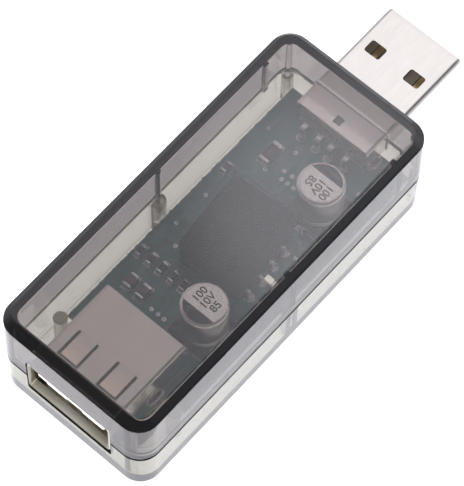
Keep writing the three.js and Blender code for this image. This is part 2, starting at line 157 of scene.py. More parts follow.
class Shape:
    """Closed forms in millimetres, each face with a material slot, that become one object."""

    def __init__(self, place=None):
        self.points = []
        self.faces = []
        self.slots = []
        self.place = place or Matrix.Identity(4)

    def add(self, points, faces, slot=0):
        base = len(self.points)
        self.points += [self.place @ Vector(p) for p in points]
        self.faces += [tuple(base + i for i in face) for face in faces]
        self.slots += [slot] * len(faces)
        return self

    def loft(self, rings, slot=0, cyclic=False):
        count = len(rings[0])
        points = [p for ring in rings for p in ring]
        faces = []
        for r in range(len(rings) if cyclic else len(rings) - 1):
            a, b = r * count, ((r + 1) % len(rings)) * count
            for i in range(count):
                j = (i + 1) % count
                faces.append((a + i, a + j, b + j, b + i))
        if not cyclic:
            faces.append(tuple(range(count))[::-1])
            faces.append(tuple(range((len(rings) - 1) * count, len(rings) * count)))
        return self.add(points, faces, slot)

    def soft_box(self, low, high, radius, slot=0, steps=2, flat_low=False, plan=None):
        """A box with rounded edges; plan is a larger corner radius seen from above."""
        x0, y0, z0 = low
        x1, y1, z1 = high
        plan = max(plan or radius, radius)
        edge = list(quarter_round(radius, steps))
        profile = [(0, z0)] if flat_low else [(inset, z0 + radius - rise) for inset, rise in edge][::-1]
        profile += [(inset, z1 - radius + rise) for inset, rise in edge]
        corner_steps = steps if plan == radius else steps + 3
        return self.loft([rounded_ring(x0 + i, x1 - i, y0 + i, y1 - i, plan - i, z, corner_steps)
                          for i, z in profile], slot)

    def turned(self, x, y, profile, slot=0, segments=24):
        """A turned form about an upright axis, from (radius, z) pairs."""
        angles = [2 * math.pi * i / segments for i in range(segments)]
        rings = [[(x + r * math.cos(a), y + r * math.sin(a), z) for a in angles] for r, z in profile]
        return self.loft(rings, slot)

    def prism(self, outline, low, high, edge=0.0, slot=0, axes="xyz"):
        """An outline in the first two axes carried along the third, its rims rounded by edge."""
        outline = turned_ccw([tuple(p) for p in outline])
        layers = [(0, low), (0, high)]
        if edge:
            layers = [(edge, low), (edge * 0.3, low + edge * 0.3), (0, low + edge),
                      (0, high - edge), (edge * 0.3, high - edge * 0.3), (edge, high)]
        place = ["xyz".index(a) for a in axes]
        rings = []
        for inset, level in layers:
            ring = []
            for u, v in (inset_outline(outline, inset) if inset else outline):
                point = [0.0, 0.0, 0.0]
                for axis, value in zip(place, (u, v, level)):
                    point[axis] = value
                ring.append(tuple(point))
            rings.append(ring)
        return self.loft(rings, slot)

    def ribbon(self, path, width, low, high):
        """A flat line on the board, with mitred corners."""
        half = width / 2
        left, right = [], []
        for i, point in enumerate(path):
            here = Vector(point)
            first = (here - Vector(path[i - 1])).normalized() if i else None
            second = (Vector(path[i + 1]) - here).normalized() if i + 1 < len(path) else None
            first, second = first or second, second or first
            normal = leftwards(first + second).normalized()
            reach = half / max(normal.dot(leftwards(first)), 0.4)
            left.append(here + normal * reach)
            right.append(here - normal * reach)
        return self.prism(left + right[::-1], low, high)

    def object(self, name, materials, weighted=False):
        mesh = bpy.data.meshes.new(name)
        mesh.from_pydata([tuple(p * MM) for p in self.points], [], self.faces)
        for m in materials:
            mesh.materials.append(m)
        mesh.polygons.foreach_set("material_index", self.slots)
        made = bpy.data.objects.new(name, mesh)
        bpy.context.scene.collection.objects.link(made)
        tidy_mesh(made, 38, weighted)
        return made


def tidy_mesh(made, smooth, weighted=True):
    """Turns every face outwards and sets which edges stay sharp."""
    mesh = made.data
    work = bmesh.new()
    work.from_mesh(mesh)
    bmesh.ops.remove_doubles(work, verts=work.verts, dist=0.0005 * MM)
    bmesh.ops.recalc_face_normals(work, faces=work.faces)
    work.to_mesh(mesh)
    work.free()
    mesh.shade_smooth()
    mesh.set_sharp_from_angle(angle=math.radians(smooth))
    if weighted and "weighted" not in made.modifiers:
        keep = made.modifiers.new("weighted", "WEIGHTED_NORMAL")
        keep.keep_sharp = True
        keep.weight = 60


def combine(made, other, operation):
    """Cuts with, adds or keeps what is common with another object, which is then gone."""
    made.modifiers.clear()
    step = made.modifiers.new("step", "BOOLEAN")
    step.operation = operation
    step.object = other
    step.solver = "EXACT"
    step.material_mode = "TRANSFER"
    graph = bpy.context.evaluated_depsgraph_get()
    result = bpy.data.meshes.new_from_object(made.evaluated_get(graph))
    made.modifiers.clear()
    made.data = result
    bpy.data.objects.remove(other)


def cut(made, shape, *materials):
    """Takes a shape away; the faces that it leaves have its materials."""
    combine(made, shape.object("cutter", materials), "DIFFERENCE")


def join(made, shape, *materials):
    """Makes a shape one with an object."""
    combine(made, shape.object("addition", materials), "UNION")


def stand_for(made, node, smooth=None):
    """Makes an object the visible piece of a CAD node, and tidies it where it was cut or joined."""
    if smooth:
        tidy_mesh(made, smooth)
    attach(made, BODY_OF[node])
    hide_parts(node)


def piece(shape, node, slot, *materials, weighted=False):
    """A piece that is one shape, with nothing cut from it."""
    stand_for(shape.object(f"{node}_detail", materials, weighted), node)


def on_board(shape, name, material):
    """Something that the circuit board carries and the CAD leaves out."""
    made = shape.object(name, [material])
    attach(made, "base")


# ---------------------------------------------------------------- materials
def shader(name, colour, roughness, metallic=0.0, **sockets):
    made = bpy.data.materials.new(name)
    made.use_nodes = True
    principled = made.node_tree.nodes["Principled BSDF"]
    principled.inputs["Base Color"].default_value = (*colour, 1)
    principled.inputs["Roughness"].default_value = roughness
    principled.inputs["Metallic"].default_value = metallic
    for socket, value in sockets.items():
        principled.inputs[socket.replace("_", " ")].default_value = value
    return made


class Nodes:
    """Short calls for a node tree."""

    def __init__(self, owner, space="Object"):
        self.tree = owner.node_tree
        self.where = self.add("TexCoord", {}, space)

    def add(self, kind, inputs, output, **settings):
        """A node with its inputs set or linked; gives the named output."""
        node = self.tree.nodes.new("ShaderNode" + kind)
        for name, value in settings.items():
            setattr(node, name, value)
        for name, value in inputs.items():
            if isinstance(value, bpy.types.NodeSocket):
                self.tree.links.new(value, node.inputs[name])
            else:
                node.inputs[name].default_value = value
        return node.outputs[output]

    def noise(self, scale, detail=3.0, stretch=None):
        where = self.where
        if stretch:
            where = self.add("Mapping", {"Vector": where, "Scale": stretch}, "Vector")
        inputs = {"Vector": where, "Scale": scale / MM, "Detail": detail, "Roughness": 0.55}
        return self.add("TexNoise", inputs, "Fac")

    def ramp(self, source, *stops):
        colours = self.add("ValToRGB", {"Fac": source}, "Color")
        ramp = colours.node.color_ramp
        while len(ramp.elements) < len(stops):
            ramp.elements.new(0.5)
        for element, (place, colour) in zip(ramp.elements, stops):
            element.position = place
            element.color = (*colour, 1)
        return colours

    def spread(self, source, low, high, start=0.3, end=0.7, **settings):
        inputs = {"Value": source, "From Min": start, "From Max": end, "To Min": low, "To Max": high}
        return self.add("MapRange", inputs, "Result", **settings)

    def feed(self, socket, source, node="Principled BSDF"):
        self.tree.links.new(source, self.tree.nodes[node].inputs[socket])

    def bump(self, source, height, strength):
        inputs = {"Height": source, "Distance": height * MM, "Strength": strength}
        self.feed("Normal", self.add("Bump", inputs, "Normal"))


def mixed(colour, other, share):
    return tuple(a + (b - a) * share for a, b in zip(colour, other))


def patterned(name, colour, roughness, grain, vary, relief, metallic=0.0, stretch=None, strength=0.4,
              gloss=0.2, **sockets):
    """Colour, gloss and surface vary together: grain is in turns per millimetre, vary and gloss are
    how far the colour and roughness move, and relief is the surface's depth in millimetres."""
    made = shader(name, colour, roughness, metallic, **sockets)
    nodes = Nodes(made)
    fine = nodes.noise(grain, stretch=stretch)
    dark = mixed(colour, (0, 0, 0), vary)
    light = mixed(colour, (1, 1, 1), vary * 0.5)
    broad = nodes.noise(grain / 6, 2.0)
    nodes.feed("Base Color", nodes.ramp(broad, (0.3, dark), (0.55, colour), (0.75, light)))
    nodes.feed("Roughness", nodes.spread(fine, roughness * (1 - gloss), roughness * (1 + gloss)))
    if relief:
        nodes.bump(fine, relief, strength)
    return made


def clear_plastic(name, roughness, absorbed, clarity=1.0):
    """Clear moulded plastic; absorbed is what a millimetre takes off in red, green and blue."""
    made = shader(name, (1, 1, 1), roughness, IOR=1.58, Transmission_Weight=clarity)
    nodes = Nodes(made)
    nodes.feed("Roughness", nodes.spread(nodes.noise(0.8, 4.0), roughness * 0.6, roughness * 1.6))
    nodes.bump(nodes.noise(0.35, 2.0), 0.01, 0.12)
    densest = max(absorbed)
    tint = (*[1 - a / densest for a in absorbed], 1)
    nodes.feed("Volume", nodes.add("VolumeAbsorption", {"Color": tint, "Density": densest / MM}, "Volume"),
               "Material Output")
    return made


def metal(*values, **named):
    return patterned(*values, metallic=1.0, **named)


SMOKED = clear_plastic("smoked_cover", 0.03, (0.50, 0.545, 0.565))
PALE_CLEAR = clear_plastic("clear_base", 0.04, (0.225, 0.235, 0.305), clarity=0.92)

# Painted shade and light at the joint between the halves: near-black faces for the dark parting line, pale
# faces on the far sides as painted light, brown faces at the mouth as painted shade.
PARTING_SHADE = patterned("parting_painted_shade", (0.01, 0.01, 0.012), 0.8, 1.0, 0.3, 0.002)
PARTING_PAINTED_LIGHT = patterned("far_parting_painted_light", (0.50, 0.48, 0.43), 0.8, 1.0, 0.2, 0.002)
MOUTH_PARTING_SHADE = patterned("mouth_parting_painted_shade", (0.16, 0.12, 0.085), 0.8, 1.0, 0.2, 0.002)

MASK = patterned("solder_mask", (0.028, 0.215, 0.188), 0.38, 1.2, 0.3, 0.006,
                 Coat_Weight=0.25, Coat_Roughness=0.2)
TRACE = patterned("masked_copper", (0.05, 0.265, 0.225), 0.36, 1.2, 0.25, 0.006)
CORE = patterned("board_core", (0.33, 0.33, 0.17), 0.7, 6, 0.35, 0.03,
                 stretch=(0.4, 0.4, 3), strength=0.8)
INK = patterned("white_ink", (0.24, 0.27, 0.26), 0.6, 6, 0.15, 0.01)
TIN = metal("tin", (0.64, 0.63, 0.62), 0.26, 2.5, 0.16, 0.004)
SOLDER = metal("solder", (0.60, 0.595, 0.58), 0.3, 3.5, 0.2, 0.006)
STEEL = metal("nickel_sheet", (0.61, 0.555, 0.52), 0.22, 1.2, 0.03, 0, gloss=0.1)
# A lighter copy of the plug's nickel for the part inside the case: painted light.
STEEL_REAR_LIT = metal("plug_nickel_inside_case_painted_light", (0.80, 0.73, 0.70), 0.24, 2.0, 0.02, 0, gloss=0.1)
# A darker copy of the plug's nickel for the rounded bends: painted shade.
STEEL_BEND_SHADE = metal("nickel_bend_painted_shade", (0.36, 0.35, 0.34), 0.3, 1.5, 0.05, 0, gloss=0.1)
STEEL_PLUG = metal("plug_nickel", (0.645, 0.61, 0.56), 0.24, 2.0, 0.02, 0.0003,
                   stretch=(0.15, 1, 1), gloss=0.1)
# A darker copy of the nickel for the receptacle's inner faces: painted shade inside the socket.
STEEL_INSIDE_SHADE = metal("nickel_inside", (0.30, 0.275, 0.21), 0.2, 0.6, 0.15, 0.0006)
# The leaf springs' painted reflection: lighter and warmer from root to tip.
LEAF_SHEEN_SPAN = (-23.9, -20.8)
LEAF_SHEEN_COLOURS = (0.0, (0.95, 0.79, 0.67)), (0.35, (0.88, 0.74, 0.64)), (1.0, (0.61, 0.555, 0.52))


def leaf_nickel_painted_sheen():
    """The springs' nickel with a painted reflection: lighter and warmer towards the tip."""
    made = metal("leaf_nickel_painted_sheen", (0.61, 0.555, 0.52), 0.22, 1.2, 0.03, 0, gloss=0.1)
    nodes = Nodes(made)
    x = nodes.add("SeparateXYZ", {"Vector": nodes.where}, "X")
    tip, root = LEAF_SHEEN_SPAN
    nodes.feed("Base Color", nodes.ramp(nodes.spread(x, 0.0, 1.0, tip * MM, root * MM), *LEAF_SHEEN_COLOURS))
    return made


STEEL_LEAF_SHEEN = leaf_nickel_painted_sheen()
GOLD = metal("gold_plate", (0.94, 0.74, 0.45), 0.34, 3.0, 0.12, 0.005)
ALUMINIUM = metal("can_aluminium", (0.78, 0.735, 0.70), 0.27, 0.7, 0.05, 0, gloss=0.02)
# A darker copy of the can's aluminium for its sides: painted shade.
CAN_SIDE_SHADE = metal("can_side_painted_shade", (0.27, 0.262, 0.262), 0.34, 1.0, 0.1, 0, gloss=0.05)
# A lighter, glowing copy of the nylon for the tongue's front: painted light.
WHITE_FRONT_GLOW = patterned("white_nylon_front_painted_light", (0.86, 0.85, 0.82), 0.45, 1.5, 0.04, 0.004,
                        Emission_Color=(1, 0.99, 0.97, 1), Emission_Strength=0.55)
WHITE = patterned("white_nylon", (0.70, 0.68, 0.62), 0.45, 1.5, 0.06, 0.004,
                  Subsurface_Weight=0.1, Subsurface_Radius=(0.001, 0.001, 0.0008))
OLIVE_BLACK = patterned("dark_nylon", (0.66, 0.60, 0.50), 0.42, 2.0, 0.25, 0.01)
EPOXY = patterned("moulded_epoxy", (0.015, 0.014, 0.016), 0.8, 0.3, 0.1, 0, gloss=0.02,
                  Specular_IOR_Level=0.03)
BASE_BLACK = patterned("capacitor_seat", (0.016, 0.016, 0.018), 0.5, 3, 0.3, 0.01)
PRINT = patterned("black_print", (0.03, 0.03, 0.035), 0.5, 5, 0.2, 0.004)
RESISTOR = patterned("resistor_glaze", (0.045, 0.028, 0.032), 0.4, 3, 0.3, 0.008)
ALUMINA = patterned("alumina", (0.34, 0.31, 0.31), 0.6, 6, 0.08, 0.01)
CERAMIC = patterned("fired_ceramic", (0.20, 0.145, 0.11), 0.45, 4, 0.2, 0.012)
# The lens's emission is a painted glow that lightens it.
LED_LENS_GLOW = patterned("led_lens", (0.93, 0.88, 0.72), 0.25, 2, 0.05, 0.002,
                 Emission_Color=(1, 0.97, 0.86, 1), Emission_Strength=0.7)
LED_BODY = patterned("led_body", (0.88, 0.87, 0.82), 0.5, 4, 0.06, 0.008)


# ---------------------------------------------------------------- case
def case_ring(inset, z, extra=0.0, far=None, steps=10):
    """The case's outline at one height, drawn in by inset; far is the inset of the +X and +Y sides."""
    far = inset if far is None else far
    return rounded_ring(COVER_LOW.x + inset + extra, COVER_HIGH.x - far, COVER_LOW.y + inset,
                        COVER_HIGH.y - far, max(CORNER - (inset + far) / 2, 0.4), z, steps)


SIDES = (1, -1)
# (x, y, radius of the cover's pin, radius of the shell's socket)
PINS = [(x, side * y, pin, socket)
        for x, y, pin, socket in ((0.9, 10.75, 0.5, 1.15), (25.9, 10.35, 0.42, 0.85)) for side in SIDES]
PIN_TIP_Z = COVER_LOW.z
PIN_SOCKET_TOP = SPLIT_Z - 0.2
PLUG_HALF, PLUG_BOTTOM = 6.0, 6.1
PLUG_GAP = 0.15


def passage(x0, x1, half, low, high, radius):
    """What an end wall leaves open."""
    return Shape().prism(rounded_outline(-half, half, low, high, radius, 6), x0, x1, axes="yzx")


def open_ends(made, at_plug, at_mouth):
    plug = passage(COVER_HIGH.x - 4, COVER_HIGH.x + 1, PLUG_HALF + PLUG_GAP, PLUG_BOTTOM - PLUG_GAP,
                   PLUG_HIGH.z + PLUG_GAP, 0.7)
    cut(made, plug, at_plug)
    cut(made, passage(COVER_LOW.x - 1, COVER_LOW.x + 3, 7.0, 3.95, 11.8, 0.5), at_mouth)


def shade_between(made, low, high):
    """Mating faces between two heights take painted shade and light: dark painted shade on one side, pale
    painted light on the far ones, brown painted shade at the mouth.
    """
    for face in made.data.polygons:
        heights = [made.data.vertices[v].co.z / MM for v in face.vertices]
        if all(low - 0.01 < height < high + 0.01 for height in heights):
            x, y, _ = face.center / MM
            at_mouth = x < COVER_LOW.x + CORNER and abs(y) < COVER_HIGH.y - CORNER
            far = x > COVER_HIGH.x - CORNER or y > COVER_HIGH.y - CORNER
            face.material_index = 3 if at_mouth else 2 if far else 1


def top_cover():
    top = COVER_HIGH.z
    fillet = 0.12
    seat = WALL - LIP_THICK - FIT
    seat_top = SPLIT_Z + LIP_HIGH + FIT
    ceiling = top - COVER_PLATE
    step_z = 10.6
    inner = [(COVER_WALL + TAPER + i, ceiling - fillet + rise) for i, rise in quarter_round(fillet, 3)]
    inner = inner[::-1] + [(COVER_WALL + 0.08, step_z), (COVER_WALL - 0.05, step_z - 0.02),
                           (COVER_WALL - 0.05, seat_top), (seat, seat_top), (seat, SPLIT_Z)]
    rings = [case_ring(*place, THICKER_END) for place in inner]
    rings += [case_ring(0.06, SPLIT_Z), case_ring(0.0, SPLIT_Z + 0.06)]
    side_top = TAPER - 0.01
    rings += [case_ring(side_top + i * RIM_ACROSS, top - RIM_HIGH + rise * RIM_HIGH,
                        far=side_top + i * FAR_RIM_ACROSS) for i, rise in rim_profile()]
    cover = Shape().loft(rings).object("top_cover_detail", [SMOKED, PARTING_SHADE, PARTING_PAINTED_LIGHT, MOUTH_PARTING_SHADE])
    # The cover's bottom edge and seat faces take painted shade, with painted light on the far sides.
    for level in (SPLIT_Z, seat_top):
        shade_between(cover, level, level)
    inside = ceiling + 0.3
    posts = Shape()
    for x, y, radius, _ in PINS:
        posts.turned(x, y, [(radius * 0.55, PIN_TIP_Z), (radius * 0.95, PIN_TIP_Z + 0.35),
                            (radius, PIN_TIP_Z + 1), (radius, inside)])
    wall_face = COVER_HIGH.y - WALL
    for side in SIDES:
        y0, y1 = sorted((side * (wall_face - 0.75), side * (wall_face - 0.1)))
        posts.soft_box((21, y0, SPLIT_Z + LIP_HIGH + 2 * FIT), (21.9, y1, inside), 0.12)
    join(cover, posts, SMOKED)
    open_ends(cover, SMOKED, SMOKED)
    stand_for(cover, "top_cover", 32)


def bottom_shell():
    rim, fillet = 0.5, 0.5
    bevel_across, bevel_high = PARTING_BEVEL
    low_inset = TAPER + SPLIT_STEP
    lip_face, lip_top = WALL - LIP_THICK, SPLIT_Z + LIP_HIGH
    inner = [(WALL + low_inset + i, PLATE + fillet - rise) for i, rise in quarter_round(fillet, 4)]
    inner = inner[::-1] + [(WALL + 0.05, lip_top - 0.1), (WALL - 0.05, lip_top), (lip_face + 0.08, lip_top),
                           (lip_face, lip_top - 0.08), (lip_face, SPLIT_Z - PARTING)]
    outer = [(SPLIT_STEP + bevel_across, SPLIT_Z - PARTING), (SPLIT_STEP, SPLIT_Z - bevel_high)]
    outer += [(low_inset - 0.03 + i, rim - rise) for i, rise in quarter_round(rim, 6)]
    rings = [case_ring(*place, THICKER_END) for place in inner] + [case_ring(*place) for place in outer]
    shell = Shape().loft(rings).object("bottom_shell_detail", [PALE_CLEAR, PARTING_SHADE, PARTING_SHADE, PARTING_SHADE])
    # The shell's parting bevel is painted near-black: painted shade for the dark parting line.
    shade_between(shell, SPLIT_Z - bevel_high, SPLIT_Z - PARTING)
    below = PLATE - 0.3
    bosses = Shape()
    for x, y, _, radius in PINS:
        bosses.turned(x, y, [(radius + 0.12, below), (radius, PLATE + 1.5), (radius, PIN_SOCKET_TOP - 0.1),
                             (radius - 0.1, PIN_SOCKET_TOP)])
    for side in SIDES:
        bosses.turned(-19.4, side * 9, [(1.0, below), (0.95, PLATE + 1), (0.95, PIN_SOCKET_TOP - 0.15),
                                        (0.8, PIN_SOCKET_TOP)])
        for x0, y in ((21.3, side * 8.3), (-24.7, side * 5.2)):
            bosses.soft_box((x0, y - 0.8, below), (x0 + 2.4, y + 0.8, BOARD_UNDER - 0.05), 0.15)
    bosses = bosses.object("bosses", [PALE_CLEAR])
    limit = Shape().loft([case_ring(0.5, PLATE - 0.4), case_ring(0.5, SPLIT_Z)])
    combine(bosses, limit.object("limit", [PALE_CLEAR]), "INTERSECT")
    combine(shell, bosses, "UNION")
    holes, gaps = Shape(), Shape()
    for x, y, radius, _ in PINS:
        holes.turned(x, y, [(radius * 0.7, PIN_TIP_Z - 0.4), (radius + 0.08, PIN_TIP_Z - 0.1),
                            (radius + 0.08, PIN_SOCKET_TOP + 1)])
        reach = radius + 0.35
        gaps.soft_box((x - reach, y - 1.3, SPLIT_Z - 0.02), (x + reach, y + 1.3, SPLIT_Z + 2), 0.1,
                      flat_low=True)
    cut(shell, holes, PALE_CLEAR)
    cut(shell, gaps, PALE_CLEAR)
    # The shell's mouth opening faces are painted near-black: painted shade in the gap under the
    # receptacle's lip.
    open_ends(shell, PALE_CLEAR, PARTING_SHADE)
    stand_for(shell, "bottom_shell", 32)


top_cover()
bottom_shell()


# ---------------------------------------------------------------- circuit board
CONVERTER = middle("dc_converter")
CONVERTER_TURN = math.radians(5)
CONVERTER_SIZE = Vector((12, 9.4, 6.05))
CONVERTER_PLACE = upright(CONVERTER, CONVERTER_TURN, BOARD_TOP)
PIN_PLACES = (-4.5, -1.96, 0.58, 3.12)
PIN_REACH = 0.65
SOCKET_PIN_X = middle("receptacle_leg_1").x
SOCKET_ROWS = [middle(f"receptacle_leg_{i}").y for i in range(1, 5)]
PLUG_PIN_X = box_mm("plug_contact_1")[0].x + 0.13
CONVERTER_FEET = [(CONVERTER_PLACE @ Vector((along, -CONVERTER_SIZE.y / 2 - PIN_REACH, 0)))[:2]
                  for along in PIN_PLACES]
# (start, end, distance from the middle line) of each pair of legs that a sheet shell stands on
SOCKET_LEG, PLUG_LEG = (-19.9, -18.1, 6.4), (23.5, 24.9, 5.85)
SHEET_LEGS = [(x0, x1, side * y) for side in SIDES for x0, x1, y in (SOCKET_LEG, PLUG_LEG)]
VIAS = [(-10.3, 1.8), (-10.3, 0.7), (-10.3, -0.3), (14.5, 1.5), (14.5, 0.5), (14.5, -0.5), (15.6, 2.0),
        (15.7, 0.7), (14.2, 4.05), (9.1, -6.3), (7.1, -7.2), (-0.9, -6.9), (18.9, 7.6), (-12.0, 6.9),
        (19.4, -7.4), (6.3, 7.3), (0.8, 7.5), (-12.2, -8.0), (-1.7, 5.4), (18.6, 2.6)]
# (x, y, radius of the hole, radius of the pad)
PIN_HOLES = ([(PLUG_PIN_X, y, 0.5, 0.7) for y in ROWS] + [(SOCKET_PIN_X, y, 0.5, 0.85) for y in SOCKET_ROWS]
             + [(*foot, 0.4, 0.75) for foot in CONVERTER_FEET])
VIA_HOLES = [(*via, 0.14, 0.27) for via in VIAS]
CANS = [middle(f"capacitor_can_{i}") for i in (1, 2)]
CHIP_NODES = ([f"resistor_{i}" for i in range(1, 6)] + [f"ceramic_capacitor_{i}" for i in range(1, 4)]
              + ["fuse_chip", "indicator_led"])
COPPER = 0.02
EDGE_STEP = 0.28
ON_TOP = (BOARD_TOP - 0.01, BOARD_TOP + COPPER)
ON_UNDERSIDE = (BOARD_UNDER - COPPER, BOARD_UNDER + 0.01)
ISOLATOR_ROWS = [middle("isolator_chip").y + (i - 3.5) * 1.27 for i in range(8)]


def lies_along_x(node):
    low, high = box_mm(node)
    return high.x - low.x > high.y - low.y


def leg_slot(leg, grow, z):
    x0, x1, y = leg
    return rounded_ring(x0 - grow, x1 + grow, y - grow - 0.15, y + grow + 0.15, grow + 0.14, z, 4)


def board_outline(inset, jitter=None):
    """The board's edge, the same number of points at every inset; jitter moves each point in or out."""
    half = BOARD_HIGH.y
    one_side = [(BOARD_HIGH.x, half), (NECK_END_X, half), (NECK_END_X, NECK_HALF), (BOARD_LOW.x, NECK_HALF)]
    corners = one_side + [(x, -y) for x, y in one_side[::-1]]
    drawn = inset_outline(corners, inset)
    points = []
    for i, (a, b) in enumerate(zip(drawn, drawn[1:] + drawn[:1])):
        full = Vector(corners[(i + 1) % len(corners)]) - Vector(corners[i])
        count = math.ceil(full.length / EDGE_STEP)
        normal = leftwards(b - a).normalized()
        for k in range(count):
            move = jitter(i) if jitter and k else 0
            points.append(a + (b - a) * (k / count) + normal * move)
    return points


def circuit_board():
    rng = random.Random(11)
    groove = 0.26
    long_edges = (0, 6)
    ragged = lambda edge: rng.uniform(*((-0.02, 0.2) if edge in long_edges else (-0.01, 0.03)))
    chipped = lambda edge: rng.uniform(*((-0.2, 0.2) if edge in long_edges else (-0.02, 0.02)))
    z0, z1 = BOARD_UNDER, BOARD_TOP
    levels = [(groove, z0, None), (0.05, z0 + 0.52, None), (0.02, z0 + 0.6, ragged),
              (0.02, z1 - 0.6, ragged), (0.05, z1 - 0.52, None), (groove, z1, chipped)]
    rings = [[(*p, z) for p in board_outline(inset, jitter)] for inset, z, jitter in levels]
    board = Shape().loft(rings).object("circuit_board_detail", [MASK, CORE, TIN])
    for face in board.data.polygons:
        face.material_index = 0 if abs(face.normal.z) > 0.9 else 1
    holes = Shape()
    reach = (z0 - 1, z1 + 1)
    for places, segments in ((PIN_HOLES, 16), (VIA_HOLES, 10)):
        for x, y, radius, _ in places:
            holes.turned(x, y, [(radius, z) for z in reach], segments=segments)
    for leg in SHEET_LEGS:
        holes.loft([leg_slot(leg, 0.3, z) for z in reach])
    cut(board, holes, TIN)
    stand_for(board, "circuit_board", 30)


def chip_pads():
    """(x0, x1, y0, y1) of every soldered pad on top of the board."""
    pads = []
    for node in CHIP_NODES:
        low, high = box_mm(node)
        for end in (high, low):
            if lies_along_x(node):
                pads.append((end.x - 0.35, end.x + 0.35, low.y - 0.06, high.y + 0.06))
            else:
                pads.append((low.x - 0.06, high.x + 0.06, end.y - 0.35, end.y + 0.35))
    for can in CANS:
        for x in (can.x + 3.0, can.x - 3.0):
            pads.append((x - 1.1, x + 1.1, can.y - 0.7, can.y + 0.7))
    return pads


def board_pads():
    shape = Shape()
    for place in chip_pads():
        shape.loft([rounded_ring(*place, 0.08, z, 2) for z in ON_TOP])
    circle = [(math.cos(math.pi * i / 10), math.sin(math.pi * i / 10)) for i in range(20)]
    for z0, z1 in (ON_TOP, ON_UNDERSIDE):
        for x, y, inner, outer in PIN_HOLES + VIA_HOLES:
            shape.loft([[(x + r * c, y + r * s, z) for c, s in circle]
                        for r, z in ((outer, z0), (outer, z1), (inner, z1), (inner, z0))], cyclic=True)
        section = (0.62, z0), (0.62, z1), (0.3, z1), (0.3, z0)
        for leg in SHEET_LEGS:
            shape.loft([leg_slot(leg, grow, z) for grow, z in section], cyclic=True)
    low, high = box_mm("isolator_chip")
    for y in ISOLATOR_ROWS:
        for x in (low.x + 0.45, high.x - 0.45):
            pad = (x - 0.75, x + 0.75, y - 0.3, y + 0.3, 0.06)
            shape.loft([rounded_ring(*pad, z, 2) for z in ON_UNDERSIDE])
    on_board(shape, "board_pads", TIN)


def board_traces():
    """Copper under the mask, seen as a slightly raised paler green."""
    shape = Shape()
    z0, z1 = BOARD_TOP - 0.01, BOARD_TOP + 0.014
    plug = [(PLUG_PIN_X, y) for y in ROWS]
    socket = [(SOCKET_PIN_X, y) for y in SOCKET_ROWS]
    paths = [
        ([plug[0], (18.4, ROWS[0] + 1.2), (17.9, 4.9)], 0.7),
        ([(14.7, 4.9), (12.8, 4.9), (12.2, 5.5), (11.7, 7.8)], 0.6),
        ([plug[1], (17.8, ROWS[1] + 0.2), (17.2, 2.0), (15.6, 2.0)], 0.25),
        ([plug[2], (17.6, ROWS[2]), (16.3, 0.7), (15.7, 0.7)], 0.25),
        ([plug[3], (18.2, -5.0), (17.3, -5.0)], 0.8),
        ([(14.5, 1.5), (13.2, 1.5), (12.6, 2.3), (11.4, 2.3)], 0.22),
        ([(14.5, 0.5), (13.0, 0.5), (12.4, 1.2), (11.0, 1.2)], 0.22),
        ([(14.5, -0.5), (12.8, -0.5), (12.1, 0.2), (10.8, 0.2)], 0.22),
        ([socket[1], (-13.2, 1.8), (-10.3, 1.8)], 0.25),
        ([socket[2], (-13.4, -0.3), (-10.3, -0.3)], 0.25),
        ([socket[0], (-13.2, 5.6), (-10.4, 6.2)], 0.6),
        ([socket[3], (-13.6, -5.0), (-11.1, -5.0)], 0.8),
        ([(-10.3, 0.7), (-8.4, 0.7), (-7.7, 1.4), (-7.7, 2.2), (-6.1, 2.6)], 0.22),
        ([(-8.3, 4.0), (-7.4, 4.0), (-6.6, 4.55), (-6.1, 4.55)], 0.25),
        ([(-8.2, 6.2), (-7.2, 6.2), (-6.6, 6.4), (-6.1, 6.4)], 0.25),
        ([(-4.3, 8.2), (-2.2, 8.2), (-1.2, 7.2), (-1.2, 6.0)], 0.22),
        ([(-4.3, 6.4), (-3.0, 6.4), (-2.4, 5.8), (-1.7, 5.4)], 0.22),
        ([(-4.3, 4.55), (-3.5, 4.55), (-3.1, 4.1), (-3.1, 3.2)], 0.22),
        ([(0.8, 7.5), (3.4, 7.5), (3.9, 7.0), (6.3, 7.3), (10.0, 7.8)], 0.22),
        ([(2.5, -7.7), (2.5, -8.6), (7.0, -8.6), (9.1, -6.3)], 0.22),
        ([(-4.9, -5.0), (-2.6, -5.0), (-0.9, -6.9)], 0.6),
        ([(11.4, -5.0), (9.6, -5.0), (9.1, -6.3)], 0.6),
        ([(18.9, 7.6), (21.8, 7.6), (23.0, 6.6)], 0.5),
        ([(19.4, -7.4), (21.8, -7.4), (23.0, -6.6)], 0.5),
    ]
    for path, width in paths:
        shape.ribbon(path, width, z0, z1)
    on_board(shape, "board_traces", TRACE)


def board_silkscreen():
    """White ink outlines round the parts."""
    shape = Shape()
    z0, z1 = BOARD_TOP - 0.01, BOARD_TOP + 0.03
    line = 0.17
    for y0, y1 in ((-1.6, 0.2), (0.9, 2.2), (2.7, 4.4), (4.8, 5.7)):
        shape.ribbon([(12.1, y0), (12.1, y1)], line, z0, z1)
    for can, face in zip(CANS, SIDES):
        for side in SIDES:
            corners = (-3.6, 1.1), (-3.6, 3.6), (2.5, 3.6), (3.6, 2.5), (3.6, 1.1)
            shape.ribbon([(can.x + face * x, can.y + side * y) for x, y in corners], line, z0, z1)
    for node in CHIP_NODES:
        low, high = box_mm(node)
        if lies_along_x(node):
            for y in (low.y - 0.28, high.y + 0.28):
                shape.ribbon([(low.x + 0.2, y), (high.x - 0.2, y)], line * 0.8, z0, z1)
        else:
            for x in (low.x - 0.28, high.x + 0.28):
                shape.ribbon([(x, low.y + 0.2), (x, high.y - 0.2)], line * 0.8, z0, z1)
    on_board(shape, "board_silkscreen", INK)


circuit_board()
board_pads()
board_traces()
board_silkscreen()


